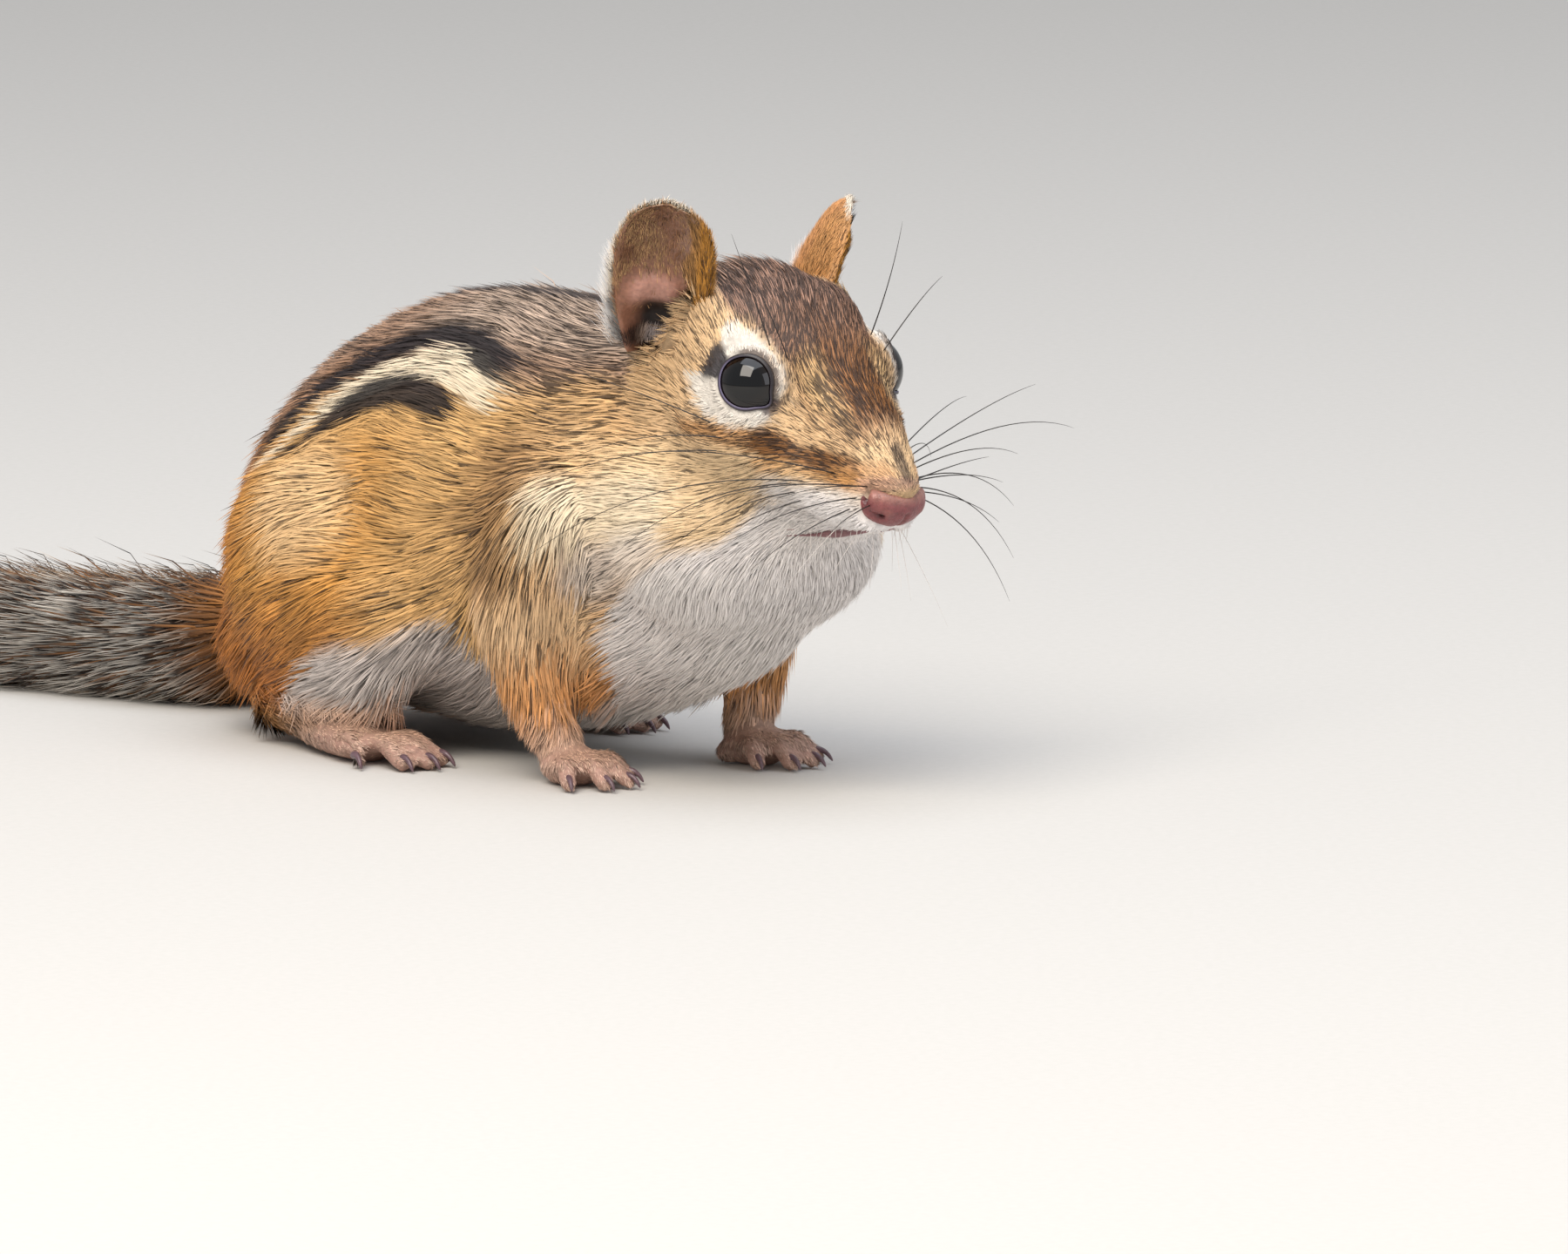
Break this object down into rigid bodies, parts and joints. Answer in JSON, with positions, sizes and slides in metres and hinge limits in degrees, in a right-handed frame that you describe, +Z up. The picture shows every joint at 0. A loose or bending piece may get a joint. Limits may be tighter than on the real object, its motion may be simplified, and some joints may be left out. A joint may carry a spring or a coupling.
{
  "type": "chipmunk",
  "caption": "Life-size still model of a striped chipmunk, crouched on four feet with its bushy tail laid on the floor behind it.",
  "frame": {"origin": "middle of the bounding box at floor level", "axes": "-Y is the way the animal faces, +Y runs along its tail, +X is its left side, +Z is up"},
  "size_m": [0.0586, 0.1956, 0.0696],
  "materials": {
    "fur": "short coat of warm buff, orange and grey-brown hair with dark and cream stripes, matte",
    "tail_fur": "long flat locks, orange-brown in the middle, then black, with frosted tips, matte",
    "ear_skin": "thin skin under very short hair, pinkish brown, soft sheen",
    "paw_skin": "buff short hair over pinkish skin, soft sheen",
    "eye": "wet black gloss",
    "claw": "dark purplish horn, satin"
  },
  "bodies": {
    "root": {"head": "fur", "neck": "fur", "torso": "fur", "ear_left": "ear_skin", "ear_right": "ear_skin", "eye_left": "eye", "eye_right": "eye", "foreleg_left": "fur", "foreleg_right": "fur", "forepaw_left": "paw_skin", "forepaw_right": "paw_skin", "hindleg_left": "fur", "hindleg_right": "fur", "hindfoot_left": "paw_skin", "hindfoot_right": "paw_skin", "tail": "tail_fur", "foreclaw_left_1": "claw", "foreclaw_left_2": "claw", "foreclaw_left_3": "claw", "foreclaw_left_4": "claw", "foreclaw_right_1": "claw", "foreclaw_right_2": "claw", "foreclaw_right_3": "claw", "foreclaw_right_4": "claw", "hindclaw_left_1": "claw", "hindclaw_left_2": "claw", "hindclaw_left_3": "claw", "hindclaw_left_4": "claw", "hindclaw_left_5": "claw", "hindclaw_right_1": "claw", "hindclaw_right_2": "claw", "hindclaw_right_3": "claw", "hindclaw_right_4": "claw", "hindclaw_right_5": "claw"}
  },
  "joints": []
}
